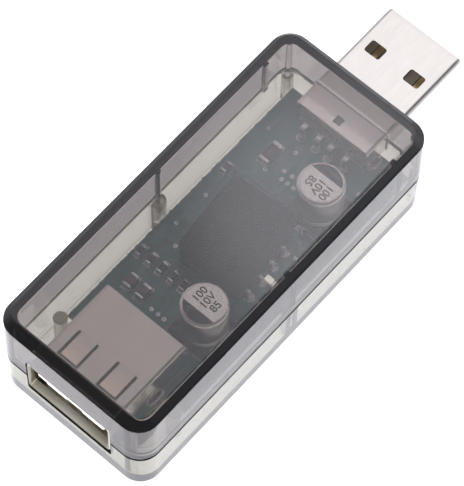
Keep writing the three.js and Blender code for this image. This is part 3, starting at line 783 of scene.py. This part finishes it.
def solder_joints():
    """Cones of solder round every pin, above and under the board, and under the sheet shells' legs."""
    shape = Shape()

    def cone(place, pad, stem, up, rise):
        z = BOARD_TOP + 0.015 if up > 0 else BOARD_UNDER - 0.015
        levels = [(pad, 0), (pad * 0.8, rise * 0.12), (stem + (pad - stem) * 0.25, rise * 0.45),
                  (stem, rise), (stem * 0.5, rise * 1.05)]
        shape.turned(*place, [(r, z + up * h) for r, h in levels], segments=20)

    for y in ROWS:
        cone((PLUG_PIN_X, y), 0.62, 0.34, 1, 0.5)
        cone((PLUG_PIN_X, y), 0.78, 0.3, -1, 0.9)
    for y in SOCKET_ROWS:
        cone((SOCKET_PIN_X, y), 0.78, 0.3, -1, 0.9)
    for foot in CONVERTER_FEET:
        cone(foot, 0.68, 0.3, -1, 0.8)
        cone(foot, 0.5, 0.28, 1, 0.22)
    levels = (0.5, 0.66, 0.015), (0.4, 0.55, 0.12), (0.15, 0.3, 0.45), (0.02, 0.18, 0.75)
    for x0, x1, y in SHEET_LEGS:
        shape.loft([rounded_ring(x0 - g, x1 + g, y - w, y + w, w * 0.95, BOARD_UNDER - drop, 4)
                    for g, w, drop in levels])
    on_board(shape, "solder_joints", SOLDER)


solder_joints()


# ---------------------------------------------------------------- USB-A plug
def sheet_tube(shape, sections, thickness, steps=6, inner_slot=None):
    """A tube of sheet metal along X: each section is (x, half width, bottom, top, corner radius)."""
    def ring(x, half, low, high, radius, inset):
        box = (-half + inset, half - inset, low + inset, high - inset)
        return [(x, *p) for p in rounded_outline(*box, radius - inset, steps)]

    edge = thickness * 0.3
    (first, *front), (last, *back) = sections[0], sections[-1]
    outer = [ring(*s, 0) for s in sections[1:-1]]
    inner = [ring(*s, thickness) for s in sections[1:-1]]
    rings = [ring(first + edge, *front, 0), *outer, ring(last - edge, *back, 0), ring(last, *back, edge),
             ring(last, *back, thickness - edge), ring(last - edge, *back, thickness), *inner[::-1],
             ring(first + edge, *front, thickness), ring(first, *front, thickness - edge),
             ring(first, *front, edge)]
    before = len(shape.slots)
    shape.loft(rings, cyclic=True)
    if inner_slot is not None:
        count = len(rings[0])
        for i in range(before + (len(sections) + 2) * count, before + (2 * len(sections) + 3) * count):
            shape.slots[i] = inner_slot


def add_legs(shape, leg, top, low, taper):
    """A pair of flat legs that narrow into the board's slots."""
    x0, x1, y = leg
    outline = [(x0, top), (x0, 4.0), (x0 + taper, low), (x1 - taper, low), (x1, 4.0), (x1, top)]
    for side in SIDES:
        shape.prism(outline, side * y - 0.15, side * y + 0.15, 0.04, axes="xzy")


def plug_shell():
    rear, nose = PLUG_LOW.x, PLUG_HIGH.x
    bottom, top, half, corner = PLUG_BOTTOM, PLUG_HIGH.z, PLUG_HALF, 0.6
    at_case = COVER_HIGH.x - COVER_WALL
    shape = Shape()
    sections = [(x, half, bottom, top, corner) for x in (rear, rear + 2, at_case, nose - 0.8)]
    sections += [(nose - 0.45, half - 0.01, bottom + 0.01, top - 0.01, corner),
                 (nose, half - 0.07, bottom + 0.07, top - 0.07, corner - 0.05)]
    sheet_tube(shape, sections, SHEET)
    made = shape.object("plug_shell_detail", [STEEL_PLUG, STEEL_BEND_SHADE, STEEL_REAR_LIT])
    # Inside the case the plug takes the lighter nickel (painted light); its rounded bends take the darker
    # nickel (painted shade).
    for face in made.data.polygons:
        if face.center.x < at_case * MM:
            face.material_index = 2
        # Rounded bends: painted shade.
        elif 0.12 < abs(face.normal.z) < 0.93 and abs(face.center.y) > (half - corner) * MM:
            face.material_index = 1
    cuts = Shape()
    window = nose - 6.3
    for side in SIDES:
        y = side * 3.25
        cuts.prism(rounded_outline(window - 1, window + 1, y - 1.25, y + 1.25, 0.36), bottom - 1, top + 1)
    cuts.prism(rounded_outline(23.2, 24.4, -0.6, 0.6, 0.12), top - 1, top + 1)
    cut(made, cuts, STEEL_PLUG)
    seam = Shape().soft_box((rear - 1, -0.03, bottom - 0.5), (nose - 0.9, 0.03, bottom + 0.12), 0.01,
                            steps=1)
    cut(made, seam, STEEL_PLUG)
    legs = Shape()
    add_legs(legs, PLUG_LEG, bottom + 0.9, PLUG_LOW.z, 0.35)
    join(made, legs, STEEL_PLUG)
    stand_for(made, "plug_shell", 32)


def plug_insulator():
    low, high = box_mm("plug_insulator")
    face = 8.3
    rear_block = 31.4
    shape = Shape().soft_box((low.x, low.y, low.z), (high.x, high.y, face), 0.12, plan=0.2)
    made = shape.object("plug_insulator_detail", [OLIVE_BLACK])
    block = Shape().soft_box((low.x, low.y, low.z + 0.02), (rear_block, high.y, high.z), 0.15)
    join(made, block, OLIVE_BLACK)
    grooves = Shape()
    for y in ROWS:
        grooves.soft_box((low.x - 1, y - 0.6, face - 0.35), (high.x - 0.6, y + 0.6, face + 0.15), 0.04,
                         steps=1)
    cut(made, grooves, OLIVE_BLACK)
    stand_for(made, "plug_insulator", 32)


def bent(points, radius, steps=4):
    """A path with its corners turned into arcs."""
    out = [Vector(points[0])]
    for before, here, after in zip(points, points[1:], points[2:]):
        here = Vector(here)
        to_before = (Vector(before) - here)
        to_after = (Vector(after) - here)
        reach = min(radius, to_before.length * 0.45, to_after.length * 0.45)
        start = here + to_before.normalized() * reach
        end = here + to_after.normalized() * reach
        for i in range(steps + 1):
            t = i / steps
            out.append(start * (1 - t) ** 2 + here * (2 * t * (1 - t)) + end * t ** 2)
    out.append(Vector(points[-1]))
    return out


def strip_outline(path, thickness):
    """The outline of a strip seen from its edge, that thick to both sides of the path."""
    half = thickness / 2
    left, right = [], []
    for i, here in enumerate(path):
        first = (here - path[i - 1]).normalized() if i else (path[1] - here).normalized()
        second = (path[i + 1] - here).normalized() if i + 1 < len(path) else first
        normal = leftwards((first + second).normalized())
        left.append(here + normal * half)
        right.append(here - normal * half)
    return left + right[::-1]


def second_finish(made, until_x):
    """The faces before a place along X take the second material: they are cut at that place."""
    work = bmesh.new()
    work.from_mesh(made.data)
    bmesh.ops.bisect_plane(work, geom=work.verts[:] + work.edges[:] + work.faces[:],
                           plane_co=(until_x * MM, 0, 0), plane_no=(1, 0, 0))
    for face in work.faces:
        if face.calc_center_median().x < until_x * MM:
            face.material_index = 1
    work.to_mesh(made.data)
    work.free()


def plug_contact(index):
    node = f"plug_contact_{index}"
    low, high = box_mm(node)
    y = (low.y + high.y) / 2
    thick = 0.26
    x = low.x + thick / 2
    z = high.z - thick / 2
    path = bent([(x, low.z), (x, z), (high.x - 0.1, z)], 0.35)
    shape = Shape()
    half = (high.y - low.y) / 2
    shape.prism(strip_outline(path, thick), y - half, y + half, 0.05, axes="xzy")
    made = shape.object(f"{node}_detail", [GOLD, TIN], weighted=True)
    second_finish(made, low.x + 2.2)
    stand_for(made, node)


plug_shell()
plug_insulator()
for number in range(1, 5):
    plug_contact(number)


# ---------------------------------------------------------------- USB-A receptacle
LEAF_Y = 3.2
LEAF_HALF = 1.3
LEAF_ROOT_X = -20.2
LEAF_TIP_X = -24.0
LEAF_DIP = 0.12
TONGUE_STEPS = ((3.9, 7.0), (-2.0, 0.7))
TONGUE_STEP_HIGH = 0.5


def receptacle_shell():
    mouth, rear = SOCKET_LOW.x, SOCKET_HIGH.x
    half, bottom, top = 6.55, 5.85, 11.55
    lip_half, lip_top = SOCKET_HIGH.y, SOCKET_HIGH.z
    shape = Shape()
    sections = [(mouth, lip_half, 5.0, lip_top, 0.7),
                (mouth + 0.3, lip_half - 0.12, 5.3, lip_top - 0.04, 0.65)]
    sections += [(x, half, bottom, top, 0.5) for x in (mouth + 0.85, mouth + 1.6, rear - 0.5, rear)]
    sheet_tube(shape, sections, SHEET, steps=5, inner_slot=1)
    # The inner faces take the darker nickel: painted shade.
    made = shape.object("receptacle_shell_detail", [STEEL, STEEL_INSIDE_SHADE])
    cuts = Shape()
    wide = LEAF_HALF + 0.4
    for side in SIDES:
        y = side * LEAF_Y
        window = rounded_outline(LEAF_TIP_X - 0.4, LEAF_ROOT_X, y - wide, y + wide, 0.18)
        cuts.prism(window, top - 1, top + 1)
    cuts.prism(rounded_outline(-16.2, -14.6, -4.5, 4.5, 0.2), bottom - 1, bottom + 0.5)
    cut(made, cuts, STEEL)
    extras = Shape()
    level = top - SHEET / 2
    path = bent([(LEAF_ROOT_X + 0.3, level), (LEAF_ROOT_X - 1.4, level - 0.01),
                 (LEAF_TIP_X, level - LEAF_DIP)], 1.2)
    leaf = strip_outline(path, SHEET * 0.96)
    for side in SIDES:
        y = side * LEAF_Y
        extras.prism(leaf, y - LEAF_HALF, y + LEAF_HALF, 0.05, slot=1, axes="xzy")
    add_legs(extras, SOCKET_LEG, bottom + 0.9, SOCKET_LOW.z, 0.4)
    # The leaves take the nickel with the painted reflection towards the tip.
    join(made, extras, STEEL, STEEL_LEAF_SHEEN)
    stand_for(made, "receptacle_shell", 32)


def receptacle_insulator():
    low, high = box_mm("receptacle_insulator")
    root, under, over, half = -18.6, 8.75, 10.6, 5.55
    shape = Shape().soft_box((root, low.y, low.z), (high.x, high.y, high.z), 0.3)
    made = shape.object("receptacle_insulator_detail", [WHITE, WHITE_FRONT_GLOW])
    join(made, Shape().soft_box((low.x, -half, under), (root + 0.5, half, over), 0.15, plan=0.3), WHITE)
    grooves = Shape()
    for y0, y1 in TONGUE_STEPS:
        grooves.soft_box((low.x - 1, y0, under - 1), (low.x + 0.5, y1, under + TONGUE_STEP_HIGH), 0.08,
                         steps=1)
    for i in range(1, 5):
        y = middle(f"receptacle_contact_{i}").y
        grooves.soft_box((low.x + 0.7, y - 0.7, under - 1), (root, y + 0.7, under + 0.95), 0.05, steps=1)
    for y in SOCKET_ROWS:
        grooves.soft_box((SOCKET_PIN_X - 0.35, y - 0.4, low.z - 1), (SOCKET_PIN_X + 0.35, y + 0.4, 8), 0.05,
                         steps=1)
    cut(made, grooves, WHITE)
    # The tongue's front takes the glowing nylon: painted light.
    second_finish(made, low.x + 0.7)
    stand_for(made, "receptacle_insulator", 32)


def receptacle_contact(index):
    node = f"receptacle_contact_{index}"
    low, high = box_mm(node)
    thick = 0.2
    path = bent([(high.x, high.z - thick / 2 - 0.01), (-24.6, low.z + thick / 2 + 0.02), (low.x, 8.7)],
                0.9, 6)
    shape = Shape()
    shape.prism(strip_outline(path, thick), low.y, high.y, 0.05, axes="xzy")
    piece(shape, node, "contact_gold", GOLD, weighted=True)


def receptacle_leg(index):
    node = f"receptacle_leg_{index}"
    low, high = box_mm(node)
    x, y = (low.x + high.x) / 2, (low.y + high.y) / 2
    outline = [(low.y, high.z), (low.y, low.z + 0.5), (y - 0.1, low.z), (y + 0.1, low.z),
               (high.y, low.z + 0.5), (high.y, high.z)]
    shape = Shape()
    shape.prism(outline, low.x, high.x, 0.04, axes="yzx")
    piece(shape, node, "tinned_lead", TIN, weighted=True)


receptacle_shell()
receptacle_insulator()
for number in range(1, 5):
    receptacle_contact(number)
    receptacle_leg(number)


# ---------------------------------------------------------------- parts on the board
def dc_converter():
    half = CONVERTER_SIZE / 2
    base, top = 0.12, 0.12 + CONVERTER_SIZE.z
    shape = Shape(CONVERTER_PLACE).soft_box((-half.x, -half.y, base), (half.x, half.y, top), 0.3, steps=4)
    made = shape.object("dc_converter_detail", [EPOXY, PRINT])
    outer, depth, level = 0.5, 0.07, 1.75
    section = (outer, level), (outer, level + 0.14), (-depth, level + 0.11), (-depth, level + 0.03)
    rings = [rounded_ring(-half.x - grow, half.x + grow, -half.y - grow, half.y + grow, 0.3, z, 4)
             for grow, z in section]
    cut(made, Shape(CONVERTER_PLACE).loft(rings, cyclic=True), EPOXY)
    dimple = [(0.3, top - 0.12), (0.42, top + 0.1)]
    cut(made, Shape(CONVERTER_PLACE).turned(-half.x + 1.2, -half.y + 1.2, dimple), EPOXY)
    stand_for(made, "dc_converter", 32)


def converter_pin(index):
    node = f"dc_converter_pin_{index}"
    along = PIN_PLACES[index - 1]
    half = CONVERTER_SIZE.y / 2
    thick = 0.3
    low = box_mm(node)[0].z - BOARD_TOP
    foot = -half - PIN_REACH
    path = bent([(-half - 0.1, 1.25), (foot, 1.25), (foot, low)], 0.3)
    shape = Shape(CONVERTER_PLACE)
    shape.prism(strip_outline(path, thick), along - 0.25, along + 0.25, 0.05, axes="yzx")
    piece(shape, node, "tinned_lead", TIN, weighted=True)


def text_faces(words, size):
    """The flat faces of a few characters, centred, in millimetres."""
    curve = bpy.data.curves.new("words", "FONT")
    curve.body = words
    curve.align_x = "CENTER"
    curve.align_y = "CENTER"
    curve.size = size
    curve.resolution_u = 4
    curve.offset = size * 0.012
    source = bpy.data.objects.new("words", curve)
    bpy.context.scene.collection.objects.link(source)
    graph = bpy.context.evaluated_depsgraph_get()
    mesh = bpy.data.meshes.new_from_object(source.evaluated_get(graph))
    points = [tuple(v.co) for v in mesh.vertices]
    faces = [tuple(p.vertices) for p in mesh.polygons]
    bpy.data.objects.remove(source)
    return points, faces


def capacitor(index, turn):
    node = f"capacitor_can_{index}"
    low, high = box_mm(node)
    radius = (high.x - low.x) / 2
    place = upright((low + high) / 2, turn)
    top, crimp = high.z, low.z + 1.02
    profile = [(0.3, low.z), (0.1, low.z + 0.06), (0, low.z + 0.22)]
    profile += [(inset, crimp + side * rise) for side, steps in ((-1, 1), (1, -1))
                for inset, rise in ((0, 0.42), (0.1, 0.28), (0.24, 0.1))[::steps]]
    shoulder = (0, 0.5), (0.06, 0.28), (0.2, 0.1), (0.42, 0.02), (0.6, 0.02)
    profile += [(inset, top - drop) for inset, drop in shoulder]
    shape = Shape(place).turned(0, 0, [(radius - inset, z) for inset, z in profile], segments=64)
    reach = radius - 0.42
    sweep = math.acos(radius * 0.36 / reach)
    angles = [math.pi + sweep * (i / 12 - 1) for i in range(25)]
    shape.prism([(reach * math.cos(a), reach * math.sin(a)) for a in angles], top - 0.03, top, slot=1)
    size, line_step, text_x = 1.5, 1.3, 0.65
    for row, words in enumerate(("100", "10V", "85")):
        points, faces = text_faces(words, size)
        shape.add([(x + text_x, y + line_step * (1 - row), top) for x, y, _ in points], faces, 1)
    made = shape.object(f"{node}_detail", [ALUMINIUM, PRINT, CAN_SIDE_SHADE])
    # The can's sides take the darker aluminium: painted shade.
    for face in made.data.polygons:
        if face.center.z < (top - 0.4) * MM:
            face.material_index = 2
    stand_for(made, node)

    node = f"capacitor_base_{index}"
    low, high = box_mm(node)
    half = (high.x - low.x) / 2
    cut_off = half - 1.1
    outline = [(-half, -half), (cut_off, -half), (half, -cut_off), (half, cut_off), (cut_off, half),
               (-half, half)]
    seat = Shape(place).prism(outline, low.z, high.z - 0.35, 0.08)
    well = [(radius + 0.1, high.z - 0.4), (radius + 0.1, high.z - 0.05), (radius, high.z)]
    seat.turned(0, 0, well, segments=48)
    x = 0.45 - half
    for side in SIDES:
        y = side * (half - 0.75)
        seat.soft_box((x - 0.35, y - 0.35, high.z - 0.45), (x + 0.35, y + 0.35, high.z), 0.08)
        x0, x1 = sorted((side * 2.2, side * (half + 0.45)))
        seat.soft_box((x0, -0.4, low.z), (x1, 0.4, low.z + 0.14), 0.03, slot=1)
    piece(seat, node, "black_plastic", BASE_BLACK, TIN)


def end_capped(node, body_material, slot, glaze=None, cap=0.3):
    """A chip part: a block with metal ends, soldered down at both, and a glazed top on a resistor."""
    low, high = box_mm(node)
    size = (high - low) / 2
    half, side, turn = (size.x, size.y, 0) if lies_along_x(node) else (size.y, size.x, math.pi / 2)
    shape = Shape(upright((low + high) / 2, turn))
    skin, solder_reach = 0.03, 0.34
    z0, z1 = low.z, high.z
    x, y = half - cap * 0.6, side - skin
    shape.soft_box((-x, -y, z0 + skin), (x, y, z1 - skin), 0.04)
    for end in SIDES:
        x0, x1 = sorted((end * half, end * (half - cap)))
        shape.soft_box((x0, -side, z0), (x1, side, z1), 0.07, slot=1, steps=3)
        face, foot, rise = end * (half - 0.02), z0 - 0.03, (z1 - z0) * 0.7
        curve = [(face, foot)] + [(face + end * solder_reach * (1 - t) ** 1.9, foot + rise * t ** 1.15)
                                  for t in (0, 0.2, 0.4, 0.6, 0.8, 1)]
        shape.prism(curve, -side * 0.92, side * 0.92, slot=3, axes="xzy")
    if glaze:
        x, y = half - cap - 0.03, side - 0.05
        shape.soft_box((-x, -y, z1 - skin - 0.03), (x, y, z1), 0.02, slot=2)
    piece(shape, node, slot, body_material, TIN, glaze or body_material, SOLDER)


def indicator_led():
    node = "indicator_led"
    low, high = box_mm(node)
    x0, x1, y = low.x, high.x, (low.y + high.y) / 2
    shape = Shape().soft_box((x0, low.y + 0.12, low.z), (x1, high.y - 0.12, low.z + 0.25), 0.04)
    shape.soft_box((x0 + 0.03, y - 0.55, low.z + 0.22), (x1 - 0.03, y + 0.55, high.z), 0.1, slot=1, steps=3)
    for end in SIDES:
        y0, y1 = sorted((y + end * 0.58, y + end * (high.y - y)))
        shape.soft_box((x0 + 0.02, y0, low.z), (x1 - 0.02, y1, low.z + 0.27), 0.03, slot=2)
    piece(shape, node, "led_lens", LED_BODY, LED_LENS_GLOW, TIN)


def isolator_chip():
    node = "isolator_chip"
    low = box_mm(node)[0]
    centre = middle(node)
    half_x, half_y, draft = 3.75, 5.15, 0.18
    body_top, foot_z = BOARD_UNDER - 0.12, BOARD_UNDER - 0.155
    waist = (low.z + body_top) / 2
    x0, x1, y0, y1 = centre.x - half_x, centre.x + half_x, centre.y - half_y, centre.y + half_y
    lower = [(draft + 0.05, low.z), (draft, low.z + 0.05), (0.03, waist - 0.06), (0.0, waist - 0.05)]
    profile = lower + [(inset, 2 * waist - z) for inset, z in lower[::-1]]
    shape = Shape().loft([rounded_ring(x0 + i, x1 - i, y0 + i, y1 - i, 0.12, z, 3) for i, z in profile])
    made = shape.object("isolator_chip_detail", [EPOXY, TIN])
    cut(made, Shape().turned(x0 + 1.1, y0 + 1.1, [(0.5, low.z - 0.1), (0.36, low.z + 0.1)]), EPOXY)
    leads = Shape()
    thick = 0.25
    corners = (half_x - 0.3, waist), (half_x + 0.55, waist), (half_x + 0.62, foot_z), (half_x + 1.4, foot_z)
    for y in ISOLATOR_ROWS:
        for side in SIDES:
            path = bent([(centre.x + side * x, z) for x, z in corners], 0.25)
            leads.prism(strip_outline(path, thick), y - 0.21, y + 0.21, 0.04, slot=1, axes="xzy")
    leads = leads.object("leads", [EPOXY, TIN])
    joined = bmesh.new()
    for part in (made, leads):
        joined.from_mesh(part.data)
    joined.to_mesh(made.data)
    joined.free()
    bpy.data.objects.remove(leads)
    stand_for(made, node, 32)


dc_converter()
for number in range(1, 5):
    converter_pin(number)
capacitor(1, 0)
capacitor(2, math.pi)
for number in range(1, 6):
    end_capped(f"resistor_{number}", ALUMINA, "resistor_black", RESISTOR)
for number in range(1, 4):
    end_capped(f"ceramic_capacitor_{number}", CERAMIC, "ceramic", cap=0.36)
end_capped("fuse_chip", ALUMINA, "resistor_black", RESISTOR, cap=0.5)
indicator_led()
isolator_chip()


# ---------------------------------------------------------------- floor, light and camera
FLOOR_GLOW = 1.08


def floor():
    size, z = 3.0, -0.00015
    mesh = bpy.data.meshes.new("floor")
    corners = [(-size, -size, z), (size, -size, z), (size, size, z), (-size, size, z)]
    mesh.from_pydata(corners, [], [(0, 1, 2, 3)])
    made = bpy.data.objects.new("floor", mesh)
    bpy.context.scene.collection.objects.link(made)
    mesh.materials.append(shader("pale_floor", (0.8, 0.8, 0.8), 0.9, Specular_IOR_Level=0.0,
                                 Emission_Color=(0.98, 0.985, 1.04, 1), Emission_Strength=FLOOR_GLOW))


# The studio: dim on the camera's side, bright beyond the object and low all round.
DIM_LIGHT, BRIGHT_LIGHT = 0.3, 1.15
BEYOND = (0.85, 0.53, 0.0)
DIM_UNTIL, BRIGHT_FROM = -0.05, 0.42
# (towards, outer and inner angle in degrees, light): the soft box, and the lamp that hazes the plate
DISCS = ((0.525, 0.005, 0.851), 25, 14, 0.35), ((0.3611, 0.2616, 0.8951), 2.9, 0.4, 1.35)
RING_LIGHT = 1.1
RING_TOP, RING_FADE = 0.12, 0.32


def lights():
    world = bpy.data.worlds.new("studio")
    bpy.context.scene.world = world
    world.use_nodes = True
    nodes = Nodes(world, "Generated")

    def soft_edge(towards, start, end, low, high):
        dot = nodes.add("VectorMath", {0: nodes.where, 1: Vector(towards).normalized()}, "Value",
                        operation="DOT_PRODUCT")
        return nodes.spread(dot, low, high, start, end, interpolation_type="SMOOTHSTEP")

    def together(operation, first, second):
        return nodes.add("Math", {0: first, 1: second}, "Value", operation=operation)

    total = together("MAXIMUM", soft_edge(BEYOND, DIM_UNTIL, BRIGHT_FROM, DIM_LIGHT, BRIGHT_LIGHT),
                     soft_edge((0, 0, 1), RING_TOP, RING_FADE, RING_LIGHT, 0.0))
    for towards, outer, inner, light in DISCS:
        edges = [math.cos(math.radians(angle)) for angle in (outer, inner)]
        total = together("ADD", total, soft_edge(towards, *edges, 0.0, light))
    nodes.tree.nodes["Background"].inputs["Color"].default_value = (0.98, 0.985, 1.06, 1)
    nodes.feed("Strength", total, "Background")


def camera():
    """The photograph's viewing angle: turn and height in degrees, distance and aim in metres."""
    azimuth, elevation, roll = map(math.radians, (-50.455, 64.416, 1.744))
    distance = 0.39053
    aim = Vector((0.002731, -0.000262, 0.008))
    back = Vector((math.sin(azimuth) * math.cos(elevation), -math.cos(azimuth) * math.cos(elevation),
                   math.sin(elevation)))
    right = Vector((math.cos(azimuth), math.sin(azimuth), 0))
    up = right.cross(-back)
    across = right * math.cos(roll) + up * math.sin(roll)
    upward = -right * math.sin(roll) + up * math.cos(roll)
    data = bpy.data.cameras.new("camera")
    data.sensor_fit = "VERTICAL"
    data.sensor_height = 36.0
    data.lens = 3076.45 / 486 * data.sensor_height
    data.clip_start = 0.01
    data.clip_end = 10
    made = bpy.data.objects.new("camera", data)
    bpy.context.scene.collection.objects.link(made)
    turn = Matrix((across, upward, back)).transposed().to_4x4()
    made.matrix_world = Matrix.Translation(aim + back * distance) @ turn
    bpy.context.scene.camera = made


floor()
lights()
camera()
bpy.context.scene.view_settings.view_transform = "Standard"
